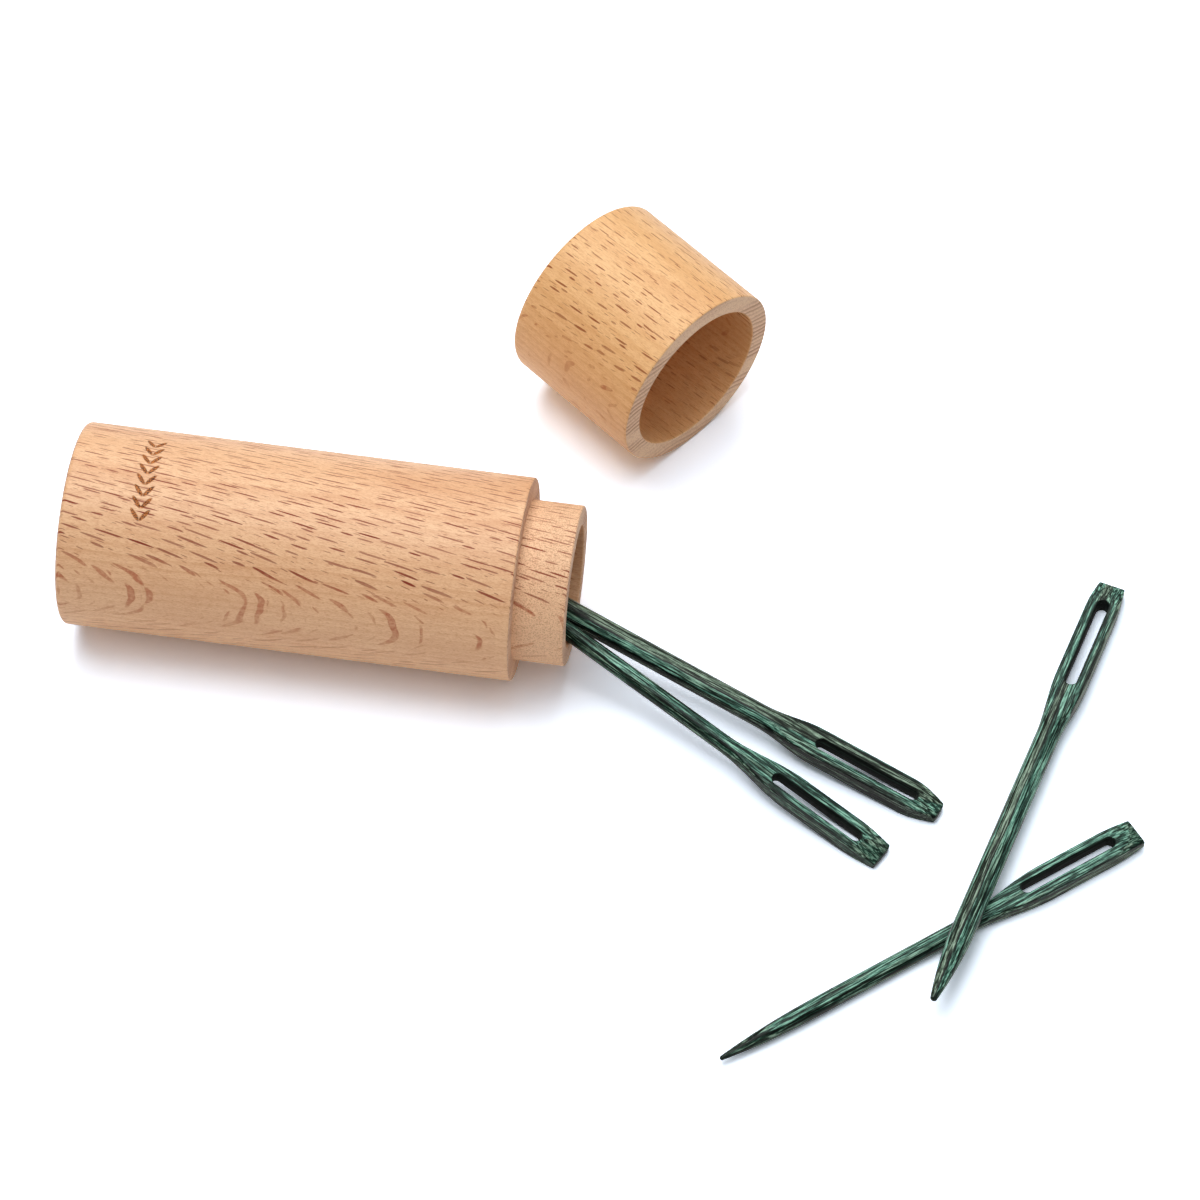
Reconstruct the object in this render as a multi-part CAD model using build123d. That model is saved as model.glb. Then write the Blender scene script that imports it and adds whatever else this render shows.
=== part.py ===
from build123d import *
from dataclasses import dataclass
from math import asin, cos, degrees, hypot, pi, radians, sin, sqrt
import os

# A turned beech needle case, lying open, with its cap beside it and four wooden darning needles.
# All sizes are in millimetres and all angles in degrees. The ground is Z = 0 and +X runs along the
# case's axis, towards its mouth. Places are first counted from the point on the ground below the
# centre of the mouth. At the end everything moves so that the origin is the middle of the ground
# that the whole set covers.

# Case body
case_diameter = 34.0
barrel_length = 75.6
neck_length = 8.6
neck_diameter = 26.8
bore_diameter = 20.4
case_end_wall = 5.0

# Cap
cap_length = 27.5
cap_end_wall = 5.0
neck_clearance = 0.16      # between the neck and the cap's bore, all round

# Softened edges
end_round = 0.8            # round the closed ends
rim_round = 0.35           # round the shoulder, the neck's lip and the cap's rim
bore_floor_round = 1.5     # where a bore's wall meets its floor

# Needles, in two sizes
large_length = 89.0
large_shaft_diameter = 4.0
large_tip_diameter = 1.0
large_point_length = 16.0
large_eye_width = 5.5
large_eye_thickness = 3.2
large_flare_length = 12.0
large_flare_overlap = 1.5  # how far the flare runs on beside the slot

small_length = 80.7
small_shaft_diameter = 3.0
small_tip_diameter = 0.7
small_point_length = 18.0
small_eye_width = 5.3
small_eye_thickness = 2.9
small_flare_length = 15.0
small_flare_overlap = 5.0

slot_width = 2.15
eye_edge_round = 0.4       # along the planed eye's four long edges
sanded_length = 6.5        # the eye's end is sanded thinner and narrower over this length
sanded_thickness = 1.3     # what is left at the very end

# The slots and eye ends are cut by hand and differ from needle to needle. Two slots are a little off
# the middle.
large_in_case_slot = 19.25
large_in_case_slot_margin = 4.25
large_in_case_end_width = 3.2
small_in_case_slot = 17.95
small_in_case_slot_margin = 4.5
small_in_case_slot_offset = 0.14
small_in_case_end_width = 4.6
large_loose_slot = 18.85
large_loose_slot_margin = 4.1
large_loose_end_width = 4.4
small_loose_slot = 18.35
small_loose_slot_margin = 4.4
small_loose_slot_offset = -0.3
small_loose_end_width = 4.8

# Where the taken-off cap lies: the middle of its rim, and the way its bore faces
cap_mouth_x = 13.8
cap_mouth_y = 45.1
cap_angle = -36.8

# The two needles that stick out of the mouth. Depth is the length inside it, drift is where the
# needle crosses it, to the side of the case's axis, and turn is the way the point lies.
large_in_case_depth = 19.6
large_in_case_drift = -0.36
large_in_case_angle = 159.2
small_in_case_depth = 16.5
small_in_case_angle = 152.1
side_gap = 0.3             # between the two, where they lie side by side

# The two loose needles cross. The crossing is placed from the eye end of the large needle in the
# case, and each loose needle by how far along it the crossing is and by the way its point lies.
crossing_ahead = 7.2
crossing_aside = -20.3
crossing_from_small_eye = 33.0
crossing_from_large_point = 18.0
small_loose_angle = 220.0
large_loose_angle = 256.5

rest_gap = 0.06            # left between pieces that lie on each other

# How finely the needles' shapes are built up
flare_sections = 7
end_sections = 5
shaft_corner_angle = 10.0  # half the arc of the round shaft that widens into each flat of the eye
settling_steps = 12        # rounds that find how a needle comes to rest


@dataclass(frozen=True)
class NeedleSize:
    length: float
    shaft_diameter: float
    tip_diameter: float
    point_length: float
    eye_width: float
    eye_thickness: float
    flare_length: float
    flare_overlap: float


LARGE = NeedleSize(large_length, large_shaft_diameter, large_tip_diameter, large_point_length,
                   large_eye_width, large_eye_thickness, large_flare_length, large_flare_overlap)
SMALL = NeedleSize(small_length, small_shaft_diameter, small_tip_diameter, small_point_length,
                   small_eye_width, small_eye_thickness, small_flare_length, small_flare_overlap)

case_radius = case_diameter / 2
bore_radius = bore_diameter / 2
case_length = barrel_length + neck_length
cap_bore_radius = neck_diameter / 2 + neck_clearance


def turned(length, steps, bore, bore_depth):
    """A solid turned about the X axis, from its closed end at X = 0 to its open end.

    steps is a list of (X where the step ends, its radius), and bore is the hole's radius.
    """
    outline = [(0, 0)]
    start = 0
    for end, radius in steps:
        outline += [(start, radius), (end, radius)]
        start = end
    floor = length - bore_depth
    outline += [(length, bore), (floor, bore), (floor, 0)]
    profile = make_face(Polyline(*outline, close=True))
    corners = profile.vertices().filter_by(lambda v: v.Y > 0)
    closed_edge = corners.filter_by(lambda v: v.X == 0)
    floor_edge = corners.filter_by(lambda v: abs(v.X - floor) < 1e-6 and abs(v.Y - bore) < 1e-6)
    inner_step = corners.filter_by(lambda v: is_inner_step(v, steps))
    rims = corners - closed_edge - floor_edge - inner_step
    profile = fillet(closed_edge, end_round)
    profile = fillet(matching(profile, floor_edge), bore_floor_round)
    profile = fillet(matching(profile, rims), rim_round)
    return revolve(profile, Axis.X)


def is_inner_step(vertex, steps):
    """True at the sharp inner corner where a thinner step leaves the one before it."""
    for (end, radius), (_, next_radius) in zip(steps, steps[1:]):
        if abs(vertex.X - end) < 1e-6 and abs(vertex.Y - next_radius) < 1e-6:
            return True
    return False


def matching(profile, corners):
    """The profile's own vertices at the places of these corners."""
    return ShapeList(v for v in profile.vertices()
                     if any((v.center() - c.center()).length < 1e-6 for c in corners))


def eye_points(half_width, half_thickness, corner):
    """A planed section's quarter: end and middle of its flats and of the corner between them."""
    bend = corner * (1 - cos(radians(45)))
    return [(0, half_thickness), (half_width - corner, half_thickness),
            (half_width - bend, half_thickness - bend),
            (half_width, half_thickness - corner), (half_width, 0)]


def shaft_points(radius):
    """The same five points on the round shaft."""
    angles = (90, 90 - shaft_corner_angle, 45, shaft_corner_angle, 0)
    return [(radius * cos(radians(a)), radius * sin(radians(a))) for a in angles]


def section(x, quarter):
    """A closed section across the needle at x, mirrored from its quarter's five points."""
    top, top_end, corner, side_end, side = quarter
    edges = []
    for sy, sz in ((1, 1), (1, -1), (-1, -1), (-1, 1)):
        place = [Vector(x, sy * y, sz * z) for y, z in (top_end, corner, side_end)]
        edges.append(ThreePointArc(*place))
    for sign in (1, -1):
        edges.append(flat(x, (-top_end[0], sign * top_end[1]), (0, sign * top[1]),
                          (top_end[0], sign * top_end[1])))
        edges.append(flat(x, (sign * side_end[0], -side_end[1]), (sign * side[0], 0),
                          (sign * side_end[0], side_end[1])))
    return Face(Wire(edges))


def flat(x, start, middle, end):
    """One side of a section: a line where it is planed, an arc where it is still round."""
    points = [Vector(x, y, z) for y, z in (start, middle, end)]
    rise = (points[1] - (points[0] + points[2]) / 2).length
    if rise < 1e-6:
        return Line(points[0], points[2])
    return ThreePointArc(*points)


def blend(first, second, share):
    """Points part of the way from one section to another."""
    return [(a + (c - a) * share, b + (d - b) * share) for (a, b), (c, d) in zip(first, second)]


def sanded(full, end, share):
    """Half of the eye's width or thickness at this share of the sanded length from its end."""
    return (end + (full - end) * sin(share * pi / 2)) / 2


def needle(size, slot_length, slot_margin, end_width, slot_offset=0):
    """A needle along +X, from the middle of its eye end at the origin to its point."""
    shaft_radius = size.shaft_diameter / 2
    full_eye = eye_points(size.eye_width / 2, size.eye_thickness / 2, eye_edge_round)
    flare_start = slot_margin + slot_length - size.flare_overlap
    flare_end = flare_start + size.flare_length

    end_faces = []
    for i in range(end_sections):
        share = i / (end_sections - 1)
        quarter = eye_points(sanded(size.eye_width, end_width, share),
                             sanded(size.eye_thickness, sanded_thickness, share), eye_edge_round)
        end_faces.append(section(share * sanded_length, quarter))
    sanded_end = loft(end_faces)
    eye = extrude(section(sanded_length, full_eye), flare_start - sanded_length, dir=(1, 0, 0))

    flare_faces = []
    for i in range(flare_sections):
        along = i / (flare_sections - 1)
        share = along * along * (3 - 2 * along)
        quarter = blend(full_eye, shaft_points(shaft_radius), share)
        flare_faces.append(section(flare_start + along * size.flare_length, quarter))
    flare = loft(flare_faces)

    point_start = size.length - size.point_length
    tip_radius = size.tip_diameter / 2
    with BuildLine() as edge:
        straight = Line((flare_end, shaft_radius), (point_start, shaft_radius))
        ogive = TangentArc(straight @ 1, (size.length, tip_radius), tangent=(1, 0))
        Polyline(ogive @ 1, (size.length, 0), (flare_end, 0), straight @ 0)
    shaft = revolve(make_face(edge.line), Axis.X)

    slot = Pos(slot_margin + slot_length / 2, slot_offset, 0) * SlotOverall(slot_length, slot_width)
    slot_cut = extrude(slot, size.eye_thickness, both=True)
    return sanded_end + eye + flare + shaft - slot_cut


def eye_end_height(size, rise):
    """How high the middle of the eye end is when the needle rests on its eye at this rise."""
    heights = []
    for i in range(101):
        share = i / 100
        below = sanded(size.eye_thickness, sanded_thickness, share) * cos(rise)
        heights.append(below - share * sanded_length * sin(rise))
    return max(heights)


def laid(piece, x, y, z, turn, rise):
    """The needle turned and tilted, with the middle of its eye end at (x, y, z)."""
    return Pos(x, y, z) * Rot(0, 0, turn) * Rot(0, -degrees(rise), 0) * piece


def in_mouth(size, piece, depth, drift, turn):
    """The needle with its eye end on the ground and its shaft on the lip of the mouth.

    Returns it with the (x, y) of its eye end.
    """
    shaft_radius = size.shaft_diameter / 2
    reach = size.length - depth
    crossing = radians(180 - turn)
    rise = 0
    seat_radius = bore_radius - shaft_radius
    for _ in range(settling_steps):
        side = asin(drift / seat_radius)
        shaft_half = shaft_radius * hypot(cos(side) / cos(rise), sin(side) / cos(crossing))
        seat_radius = bore_radius - shaft_half - rest_gap
        lip_height = case_radius - sqrt(seat_radius**2 - drift**2)
        rise = asin((lip_height - eye_end_height(size, rise)) / reach)
    x = reach * cos(rise) * cos(crossing)
    y = drift - reach * cos(rise) * sin(crossing)
    return laid(piece, x, y, eye_end_height(size, rise), turn, rise), (x, y)


def flat_on_ground(size, piece, crossing_x, crossing_y, from_eye, turn):
    """The needle lying level, with its crossing this far from its eye end.

    Returns it with the height of its upper side.
    """
    thickest = max(size.eye_thickness, size.shaft_diameter)
    x = crossing_x - from_eye * cos(radians(turn))
    y = crossing_y - from_eye * sin(radians(turn))
    return laid(piece, x, y, thickest / 2, turn, 0), thickest


def across(size, piece, crossing_x, crossing_y, from_point, turn, top_below):
    """The needle with its eye end on the ground and its shaft on a top at this height."""
    from_eye = size.length - from_point
    rise = 0
    for _ in range(settling_steps):
        axis_height = top_below + rest_gap + size.shaft_diameter / 2 / cos(rise)
        rise = asin((axis_height - eye_end_height(size, rise)) / from_eye)
    x = crossing_x - from_eye * cos(rise) * cos(radians(turn))
    y = crossing_y - from_eye * cos(rise) * sin(radians(turn))
    return laid(piece, x, y, eye_end_height(size, rise), turn, rise)


case_body = turned(case_length,
                   [(barrel_length, case_radius), (case_length, neck_diameter / 2)],
                   bore_radius, case_length - case_end_wall)
case_body = Pos(-case_length, 0, case_radius) * case_body

cap = turned(cap_length, [(cap_length, case_radius)], cap_bore_radius, cap_length - cap_end_wall)
cap = Pos(cap_mouth_x, cap_mouth_y, case_radius) * Rot(0, 0, cap_angle) * Pos(-cap_length, 0, 0) * cap

large_in_case, (eye_end_x, eye_end_y) = in_mouth(
    LARGE, needle(LARGE, large_in_case_slot, large_in_case_slot_margin, large_in_case_end_width),
    large_in_case_depth, large_in_case_drift, large_in_case_angle)

# The small needle starts well to the side of the large one and is moved up to it
small_needle = needle(SMALL, small_in_case_slot, small_in_case_slot_margin, small_in_case_end_width,
                      small_in_case_slot_offset)
small_drift = large_in_case_drift - large_shaft_diameter - small_shaft_diameter / 2
for _ in range(settling_steps):
    small_in_case, _ = in_mouth(SMALL, small_needle, small_in_case_depth, small_drift,
                                small_in_case_angle)
    small_drift += (small_in_case.distance_to(large_in_case) - side_gap) * 0.8

crossing_x = eye_end_x + crossing_ahead
crossing_y = eye_end_y + crossing_aside
small_loose, small_loose_top = flat_on_ground(
    SMALL, needle(SMALL, small_loose_slot, small_loose_slot_margin, small_loose_end_width,
                  small_loose_slot_offset),
    crossing_x, crossing_y, crossing_from_small_eye, small_loose_angle)
large_loose = across(
    LARGE, needle(LARGE, large_loose_slot, large_loose_slot_margin, large_loose_end_width),
    crossing_x, crossing_y, crossing_from_large_point, large_loose_angle, small_loose_top)

nodes = {
    "case_body": case_body,
    "cap": cap,
    "large_needle_in_case": large_in_case,
    "small_needle_in_case": small_in_case,
    "large_needle_loose": large_loose,
    "small_needle_loose": small_loose,
}

covered = Compound(children=[Compound(node.wrapped) for node in nodes.values()]).bounding_box()
to_origin = Pos(-covered.center().X, -covered.center().Y, 0)

os.makedirs("parts", exist_ok=True)
for name, node in nodes.items():
    export_step(to_origin * node, f"parts/{name}.step")
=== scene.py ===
"""A turned beech needle case lying open, with its cap and four wooden darning needles.

Every piece is shaped at the origin in millimetres, as a blank on the bench would be, and is then laid
where the frame's own model has it. The beech is figured through its whole depth, so the same growth
rings and rays run over the side, the rim and the bore of a piece.
"""

import logging
import math
from dataclasses import dataclass
from enum import Enum
from typing import Optional, Sequence, Union

import bpy
from mathutils import Matrix, Vector

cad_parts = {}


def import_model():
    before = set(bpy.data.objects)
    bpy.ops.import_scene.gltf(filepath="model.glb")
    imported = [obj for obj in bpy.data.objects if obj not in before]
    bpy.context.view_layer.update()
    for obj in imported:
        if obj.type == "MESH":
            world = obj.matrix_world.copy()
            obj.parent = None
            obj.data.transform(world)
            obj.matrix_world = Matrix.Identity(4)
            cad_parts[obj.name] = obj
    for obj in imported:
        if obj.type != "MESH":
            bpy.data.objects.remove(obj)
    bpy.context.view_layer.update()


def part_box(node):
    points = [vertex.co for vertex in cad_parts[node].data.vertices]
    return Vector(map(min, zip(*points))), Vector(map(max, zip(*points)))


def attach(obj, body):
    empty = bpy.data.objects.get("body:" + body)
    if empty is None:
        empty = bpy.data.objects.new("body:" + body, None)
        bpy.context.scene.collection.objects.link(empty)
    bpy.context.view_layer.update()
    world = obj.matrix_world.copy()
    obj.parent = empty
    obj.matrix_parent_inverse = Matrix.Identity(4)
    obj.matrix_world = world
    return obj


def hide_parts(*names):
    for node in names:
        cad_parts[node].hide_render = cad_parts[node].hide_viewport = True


LOG = logging.getLogger("needle_case")
MILLIMETRE = 0.001
HAIR = 0.0001              # keeps a value off zero, or off the edge of a whole number
WELD_DISTANCE = 0.0004     # points of one shape this close are one point, in millimetres

Colour = tuple[float, float, float, float]
Value = Union["Field", float, int, Sequence[float]]


def srgb(red: int, green: int, blue: int) -> Colour:
    """A colour as a screen shows it, made linear.

    Args:
        red: Red, from 0 to 255.
        green: Green, from 0 to 255.
        blue: Blue, from 0 to 255.

    Returns:
        The linear colour with full alpha.
    """
    channels = []
    for level in (red, green, blue):
        share = level / 255
        channels.append(share / 12.92 if share <= 0.04045 else ((share + 0.055) / 1.055) ** 2.4)
    return (*channels, 1.0)


def put(name: str, data: bpy.types.ID) -> bpy.types.Object:
    """Puts a new object with a mesh, lamp or camera into the scene."""
    made = bpy.data.objects.new(name, data)
    bpy.context.scene.collection.objects.link(made)
    return made


class Field:
    """A value that flows through a node tree and takes plain arithmetic."""

    def __init__(self, graph: "Graph", socket: bpy.types.NodeSocket) -> None:
        """Wraps an output socket of a graph."""
        self.graph = graph
        self.socket = socket

    def math(self, operation: str, *others: Value) -> "Field":
        """The result of a Math node with this value first and any others after it."""
        inputs = dict(enumerate((self, *others)))
        return self.graph.add("ShaderNodeMath", inputs, operation=operation)

    def __add__(self, other: Value) -> "Field":
        """The sum."""
        return self.math("ADD", other)

    def __radd__(self, other: Value) -> "Field":
        """The sum, with this value second."""
        return self.math("ADD", other)

    def __sub__(self, other: Value) -> "Field":
        """The difference."""
        return self.math("SUBTRACT", other)

    def __rsub__(self, other: Value) -> "Field":
        """The difference, with this value second."""
        return (self * -1.0) + other

    def __mul__(self, other: Value) -> "Field":
        """The product."""
        return self.math("MULTIPLY", other)

    def __truediv__(self, other: Value) -> "Field":
        """The quotient."""
        return self.math("DIVIDE", other)

    def __abs__(self) -> "Field":
        """The size without its sign."""
        return self.math("ABSOLUTE")

    def hypot(self, other: "Field") -> "Field":
        """The length of a right angle's long side, from its two short ones."""
        return (self * self + other * other).math("SQRT")

    def ramp(self, low: Value, high: Value, start: Value = 0.0, end: Value = 1.0) -> "Field":
        """Eases from one value to another while this one goes from low to high.

        Args:
            low: Where the change starts.
            high: Where it ends.
            start: The result up to low.
            end: The result from high on.

        Returns:
            The eased value.
        """
        inputs = {"Value": self, "From Min": low, "From Max": high, "To Min": start, "To Max": end}
        return self.graph.add("ShaderNodeMapRange", inputs, interpolation_type="SMOOTHSTEP")


class Graph:
    """Adds nodes to one tree and links them."""

    def __init__(self, tree: bpy.types.NodeTree) -> None:
        """Starts on the tree that gets the nodes."""
        self.tree = tree

    def add(self, kind: str, inputs: Optional[dict] = None, output: Union[int, str] = 0,
            **settings: object) -> Field:
        """Adds one node.

        Args:
            kind: The node's type.
            inputs: Its inputs by name or place, each a Field or a constant.
            output: The output to return, by name or place.
            settings: The node's own settings.

        Returns:
            The chosen output.
        """
        node = self.tree.nodes.new(kind)
        for name, setting in settings.items():
            setattr(node, name, setting)
        for key, value in (inputs or {}).items():
            if isinstance(value, Field):
                self.tree.links.new(value.socket, node.inputs[key])
            else:
                node.inputs[key].default_value = value
        return Field(self, node.outputs[output])

    def constant(self, value: float) -> Field:
        """A fixed value that can be worked with as the others are."""
        constant = self.add("ShaderNodeValue")
        constant.socket.default_value = value
        return constant

    def dot(self, vector: Field, direction: Vector) -> Field:
        """How far a vector reaches along a fixed direction."""
        inputs = {0: vector, 1: tuple(direction)}
        return self.add("ShaderNodeVectorMath", inputs, "Value", operation="DOT_PRODUCT")

    def vector(self, x: Value, y: Value, z: Value = 0.0) -> Field:
        """A vector from three values."""
        return self.add("ShaderNodeCombineXYZ", {0: x, 1: y, 2: z})

    def split(self, vector: Field) -> tuple[Field, Field, Field]:
        """A vector's three values.

        Args:
            vector: The vector.

        Returns:
            Its X, Y and Z.
        """
        first = self.add("ShaderNodeSeparateXYZ", {0: vector})
        outputs = first.socket.node.outputs
        return first, Field(self, outputs[1]), Field(self, outputs[2])

    def noise(self, vector: Field, scale: float = 1.0, detail: float = 2.0) -> Field:
        """Soft noise about 0.5, read at a place, with a number of finer layers."""
        inputs = {"Vector": vector, "Scale": scale, "Detail": detail}
        return self.add("ShaderNodeTexNoise", inputs, "Fac")

    def mix(self, share: Value, first: Value, second: Value) -> Field:
        """A colour between two, with the share that the second has in it."""
        return self.add("ShaderNodeMix", {0: share, 6: first, 7: second}, 2, data_type="RGBA")

    def attribute(self, store: "Store", output: str = "Fac") -> Field:
        """What the mesh carries for its finish, as a number or, from "Vector", as a place."""
        return self.add("ShaderNodeAttribute", output=output, attribute_name=store.value)

    def end(self, kind: str, shader: Field) -> None:
        """Ends a shader tree with an output node of a kind."""
        output = self.tree.nodes.new(kind)
        self.tree.links.new(shader.socket, output.inputs["Surface"])

    def surface(self, colour: Field, rough: Field, height: Field, relief: float, gloss: float) -> None:
        """Ends a material's tree with an opaque surface.

        Args:
            colour: Its colour.
            rough: Its roughness.
            height: Its relief, in millimetres.
            relief: How much of the relief shows, from 0 to 1.
            gloss: Its specular level.
        """
        bump = {"Strength": relief, "Distance": MILLIMETRE, "Height": height}
        inputs = {"Base Color": colour, "Roughness": rough, "Normal": self.add("ShaderNodeBump", bump),
                  "Specular IOR Level": gloss}
        self.end("ShaderNodeOutputMaterial", self.add("ShaderNodeBsdfPrincipled", inputs))


def shader_graph(owner: Union[bpy.types.Material, bpy.types.World]) -> Graph:
    """Empties the node tree of a new material or world.

    Args:
        owner: The material or world.

    Returns:
        The graph of its tree.
    """
    owner.use_nodes = True
    owner.node_tree.nodes.clear()
    return Graph(owner.node_tree)


class Store(str, Enum):
    """The attributes that a shaped mesh carries for its finish."""

    BLANK = "blank"            # the place in the blank, in millimetres
    END_GRAIN = "end_grain"    # 1 where the surface cuts straight across the grain
    RAW = "raw"                # 0 where the turned surface is waxed, 1 where it is as bored
    # SLOT_WALL also marks where painted shade darkens the eye's slot.
    SLOT_WALL = "slot_wall"    # 1 on the wall of a needle's eye


def finished_piece(source: bpy.types.Object, node: str, kind: str,
                   place: Matrix) -> bpy.types.Object:
    """Turns a blank with a live modifier into a plain mesh that stands for a CAD node.

    Args:
        source: The object with the modifier. It is removed.
        node: The CAD node.
        kind: What the piece is, for its name.
        place: From the blank's millimetres to the row frame's metres.

    Returns:
        The finished piece, at the origin, with its place in its mesh.
    """
    name = node + "_" + kind
    evaluated = source.evaluated_get(bpy.context.evaluated_depsgraph_get())
    mesh = bpy.data.meshes.new_from_object(evaluated)
    bpy.data.objects.remove(source)
    mesh.name = name
    mesh.transform(place)
    piece = put(name, mesh)
    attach(piece, node)
    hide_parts(node)
    return piece


class ShapeTree:
    """A geometry node tree that starts from a grid and bends it by a rule."""

    def __init__(self, name: str, numbers: Sequence[str], counts: Sequence[str]) -> None:
        """Makes the tree and its named inputs.

        Args:
            name: The tree's name.
            numbers: The names of the inputs that are sizes.
            counts: The names of the inputs that are counts.
        """
        self.tree = bpy.data.node_groups.new(name, "GeometryNodeTree")
        self.tree.is_modifier = True
        self.graph = Graph(self.tree)
        face = self.tree.interface
        face.new_socket("Geometry", in_out="OUTPUT", socket_type="NodeSocketGeometry")
        kinds = {"Geometry": "Geometry", **dict.fromkeys(numbers, "Float"),
                 **dict.fromkeys(counts, "Int"), "Material": "Material"}
        self.identifiers = {}
        for label, kind in kinds.items():
            socket = face.new_socket(label, in_out="INPUT", socket_type="NodeSocket" + kind)
            self.identifiers[label] = socket.identifier
        self.entry = self.tree.nodes.new("NodeGroupInput")

    def input(self, name: str) -> Field:
        """One of the tree's inputs, by its name."""
        return Field(self.graph, self.entry.outputs[name])

    def grid(self, along: Value, around: Value) -> tuple[Field, Field, Field]:
        """A grid whose places are read by row and column.

        Args:
            along: How many points it has along the piece.
            around: How many facets it has around the piece.

        Returns:
            The grid, each point's row and the angle round the piece, in radians.
        """
        columns = around + 1.0
        mesh = self.graph.add("GeometryNodeMeshGrid", {"Vertices X": along, "Vertices Y": columns})
        index = self.graph.add("GeometryNodeInputIndex")
        row = (index / columns + HAIR).math("FLOOR")
        angle = (index - row * columns) / around * math.tau
        return mesh, row, angle

    def bend(self, mesh: Field, position: Field) -> Field:
        """Moves a grid's points into place and closes its seam and its poles.

        Args:
            mesh: The grid.
            position: The place of each point.

        Returns:
            The closed shape.
        """
        moved = self.graph.add("GeometryNodeSetPosition", {"Geometry": mesh, "Position": position})
        inputs = {"Geometry": moved, "Distance": WELD_DISTANCE}
        return self.graph.add("GeometryNodeMergeByDistance", inputs)

    def store(self, mesh: Field, attribute: Store, value: Field, kind: str, domain: str) -> Field:
        """The shape with an attribute for the finish to read, of a data type and on a domain."""
        inputs = {"Geometry": mesh, "Name": attribute.value, "Value": value}
        return self.graph.add("GeometryNodeStoreNamedAttribute", inputs, data_type=kind, domain=domain)

    def close(self, mesh: Field, sharp_angle: float) -> None:
        """Shades the shape, gives it its material and ends the tree.

        Args:
            mesh: The shape.
            sharp_angle: The angle, in radians, from which an edge stays sharp.
        """
        add = self.graph.add
        smooth = add("GeometryNodeSetShadeSmooth", {"Geometry": mesh, "Shade Smooth": True})
        angle = add("GeometryNodeInputMeshEdgeAngle")
        edges = {"Geometry": smooth, "Selection": angle.math("GREATER_THAN", sharp_angle),
                 "Shade Smooth": False}
        creased = add("GeometryNodeSetShadeSmooth", edges, domain="EDGE")
        real = add("GeometryNodeRealizeInstances", {"Geometry": creased})
        dressed = add("GeometryNodeSetMaterial", {"Geometry": real, "Material": self.input("Material")})
        end = self.tree.nodes.new("NodeGroupOutput")
        self.tree.links.new(dressed.socket, end.inputs[0])

    def apply(self, piece: bpy.types.Object, settings: dict) -> None:
        """Puts the tree on a piece as a modifier.

        Args:
            piece: The piece.
            settings: The tree's inputs, by name.
        """
        modifier = piece.modifiers.new("shape", "NODES")
        modifier.node_group = self.tree
        for name, value in settings.items():
            modifier[self.identifiers[name]] = value


@dataclass(frozen=True)
class Corner:
    """A corner of a turned outline.

    Attributes:
        along: Its distance from the closed end, in millimetres.
        radius: Its distance from the axis, in millimetres.
        rounding: The radius that softens it.
        raw: How raw the surface is after it, from 0 to 1.
    """

    along: float
    radius: float
    rounding: float = 0.0
    raw: float = 0.0


def turned_outline(corners: Sequence[Corner], step: float) -> list[tuple[float, float, float]]:
    """Rounds an outline's corners and divides its straight stretches.

    Args:
        corners: The outline's corners, from the axis to the axis.
        step: The longest stretch between two points, in millimetres.

    Returns:
        The outline's points, each with how raw the surface is.
    """
    arc_steps = 7
    stations = []
    for i, corner in enumerate(corners):
        here = Vector((corner.along, corner.radius))
        if corner.rounding == 0.0:
            stations.append([(here, corner.raw)])
            continue
        before = (Vector((corners[i - 1].along, corners[i - 1].radius)) - here).normalized()
        after = (Vector((corners[i + 1].along, corners[i + 1].radius)) - here).normalized()
        half = before.angle(after) / 2
        centre = here + (before + after).normalized() * corner.rounding / math.sin(half)
        first = here + before * corner.rounding / math.tan(half) - centre
        last = here + after * corner.rounding / math.tan(half) - centre
        arc = []
        for k in range(arc_steps + 1):
            share = k / arc_steps
            outwards = first.slerp(last, share).normalized() * corner.rounding
            arc.append((centre + outwards, corner.raw if share > 0.5 else None))
        stations.append(arc)

    points = []
    raw = corners[0].raw
    for i, arc in enumerate(stations):
        for place, value in arc:
            raw = raw if value is None else value
            points.append((place.x, place.y, raw))
        if i + 1 < len(stations):
            start, end = arc[-1][0], stations[i + 1][0][0]
            count = max(2, math.ceil((end - start).length / step))
            for k in range(1, count):
                share = 0.5 - 0.5 * math.cos(math.pi * k / count)
                place = start.lerp(end, share)
                points.append((place.x, place.y, raw))
    return points


def lathe_tree() -> ShapeTree:
    """Builds the tree that turns an outline into a piece about the X axis.

    Returns:
        The tree. Its geometry input is the outline, as a row of points.
    """
    shape = ShapeTree("Turn on the lathe", [], ["Facets"])
    graph = shape.graph
    outline = shape.input("Geometry")
    count = graph.add("GeometryNodeAttributeDomainSize", {"Geometry": outline})
    mesh, row, angle = shape.grid(count, shape.input("Facets"))
    place = graph.add("GeometryNodeInputPosition")
    inputs = {"Geometry": outline, "Value": place, "Index": row}
    sampled = graph.add("GeometryNodeSampleIndex", inputs, data_type="FLOAT_VECTOR")
    along, radius, raw = graph.split(sampled)
    around = angle * -1.0
    spun = graph.vector(along, radius * around.math("COSINE"), radius * around.math("SINE"))
    kept = shape.store(mesh, Store.RAW, raw, "FLOAT", "POINT")
    solid = shape.bend(kept, spun)
    normal = graph.add("GeometryNodeInputNormal")
    end_grain = abs(graph.dot(normal, Vector((1, 0, 0))))
    solid = shape.store(solid, Store.END_GRAIN, end_grain, "FLOAT", "POINT")
    where = graph.add("GeometryNodeInputPosition")
    solid = shape.store(solid, Store.BLANK, where, "FLOAT_VECTOR", "POINT")
    sharp_angle = math.radians(50)
    shape.close(solid, sharp_angle)
    return shape


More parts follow.
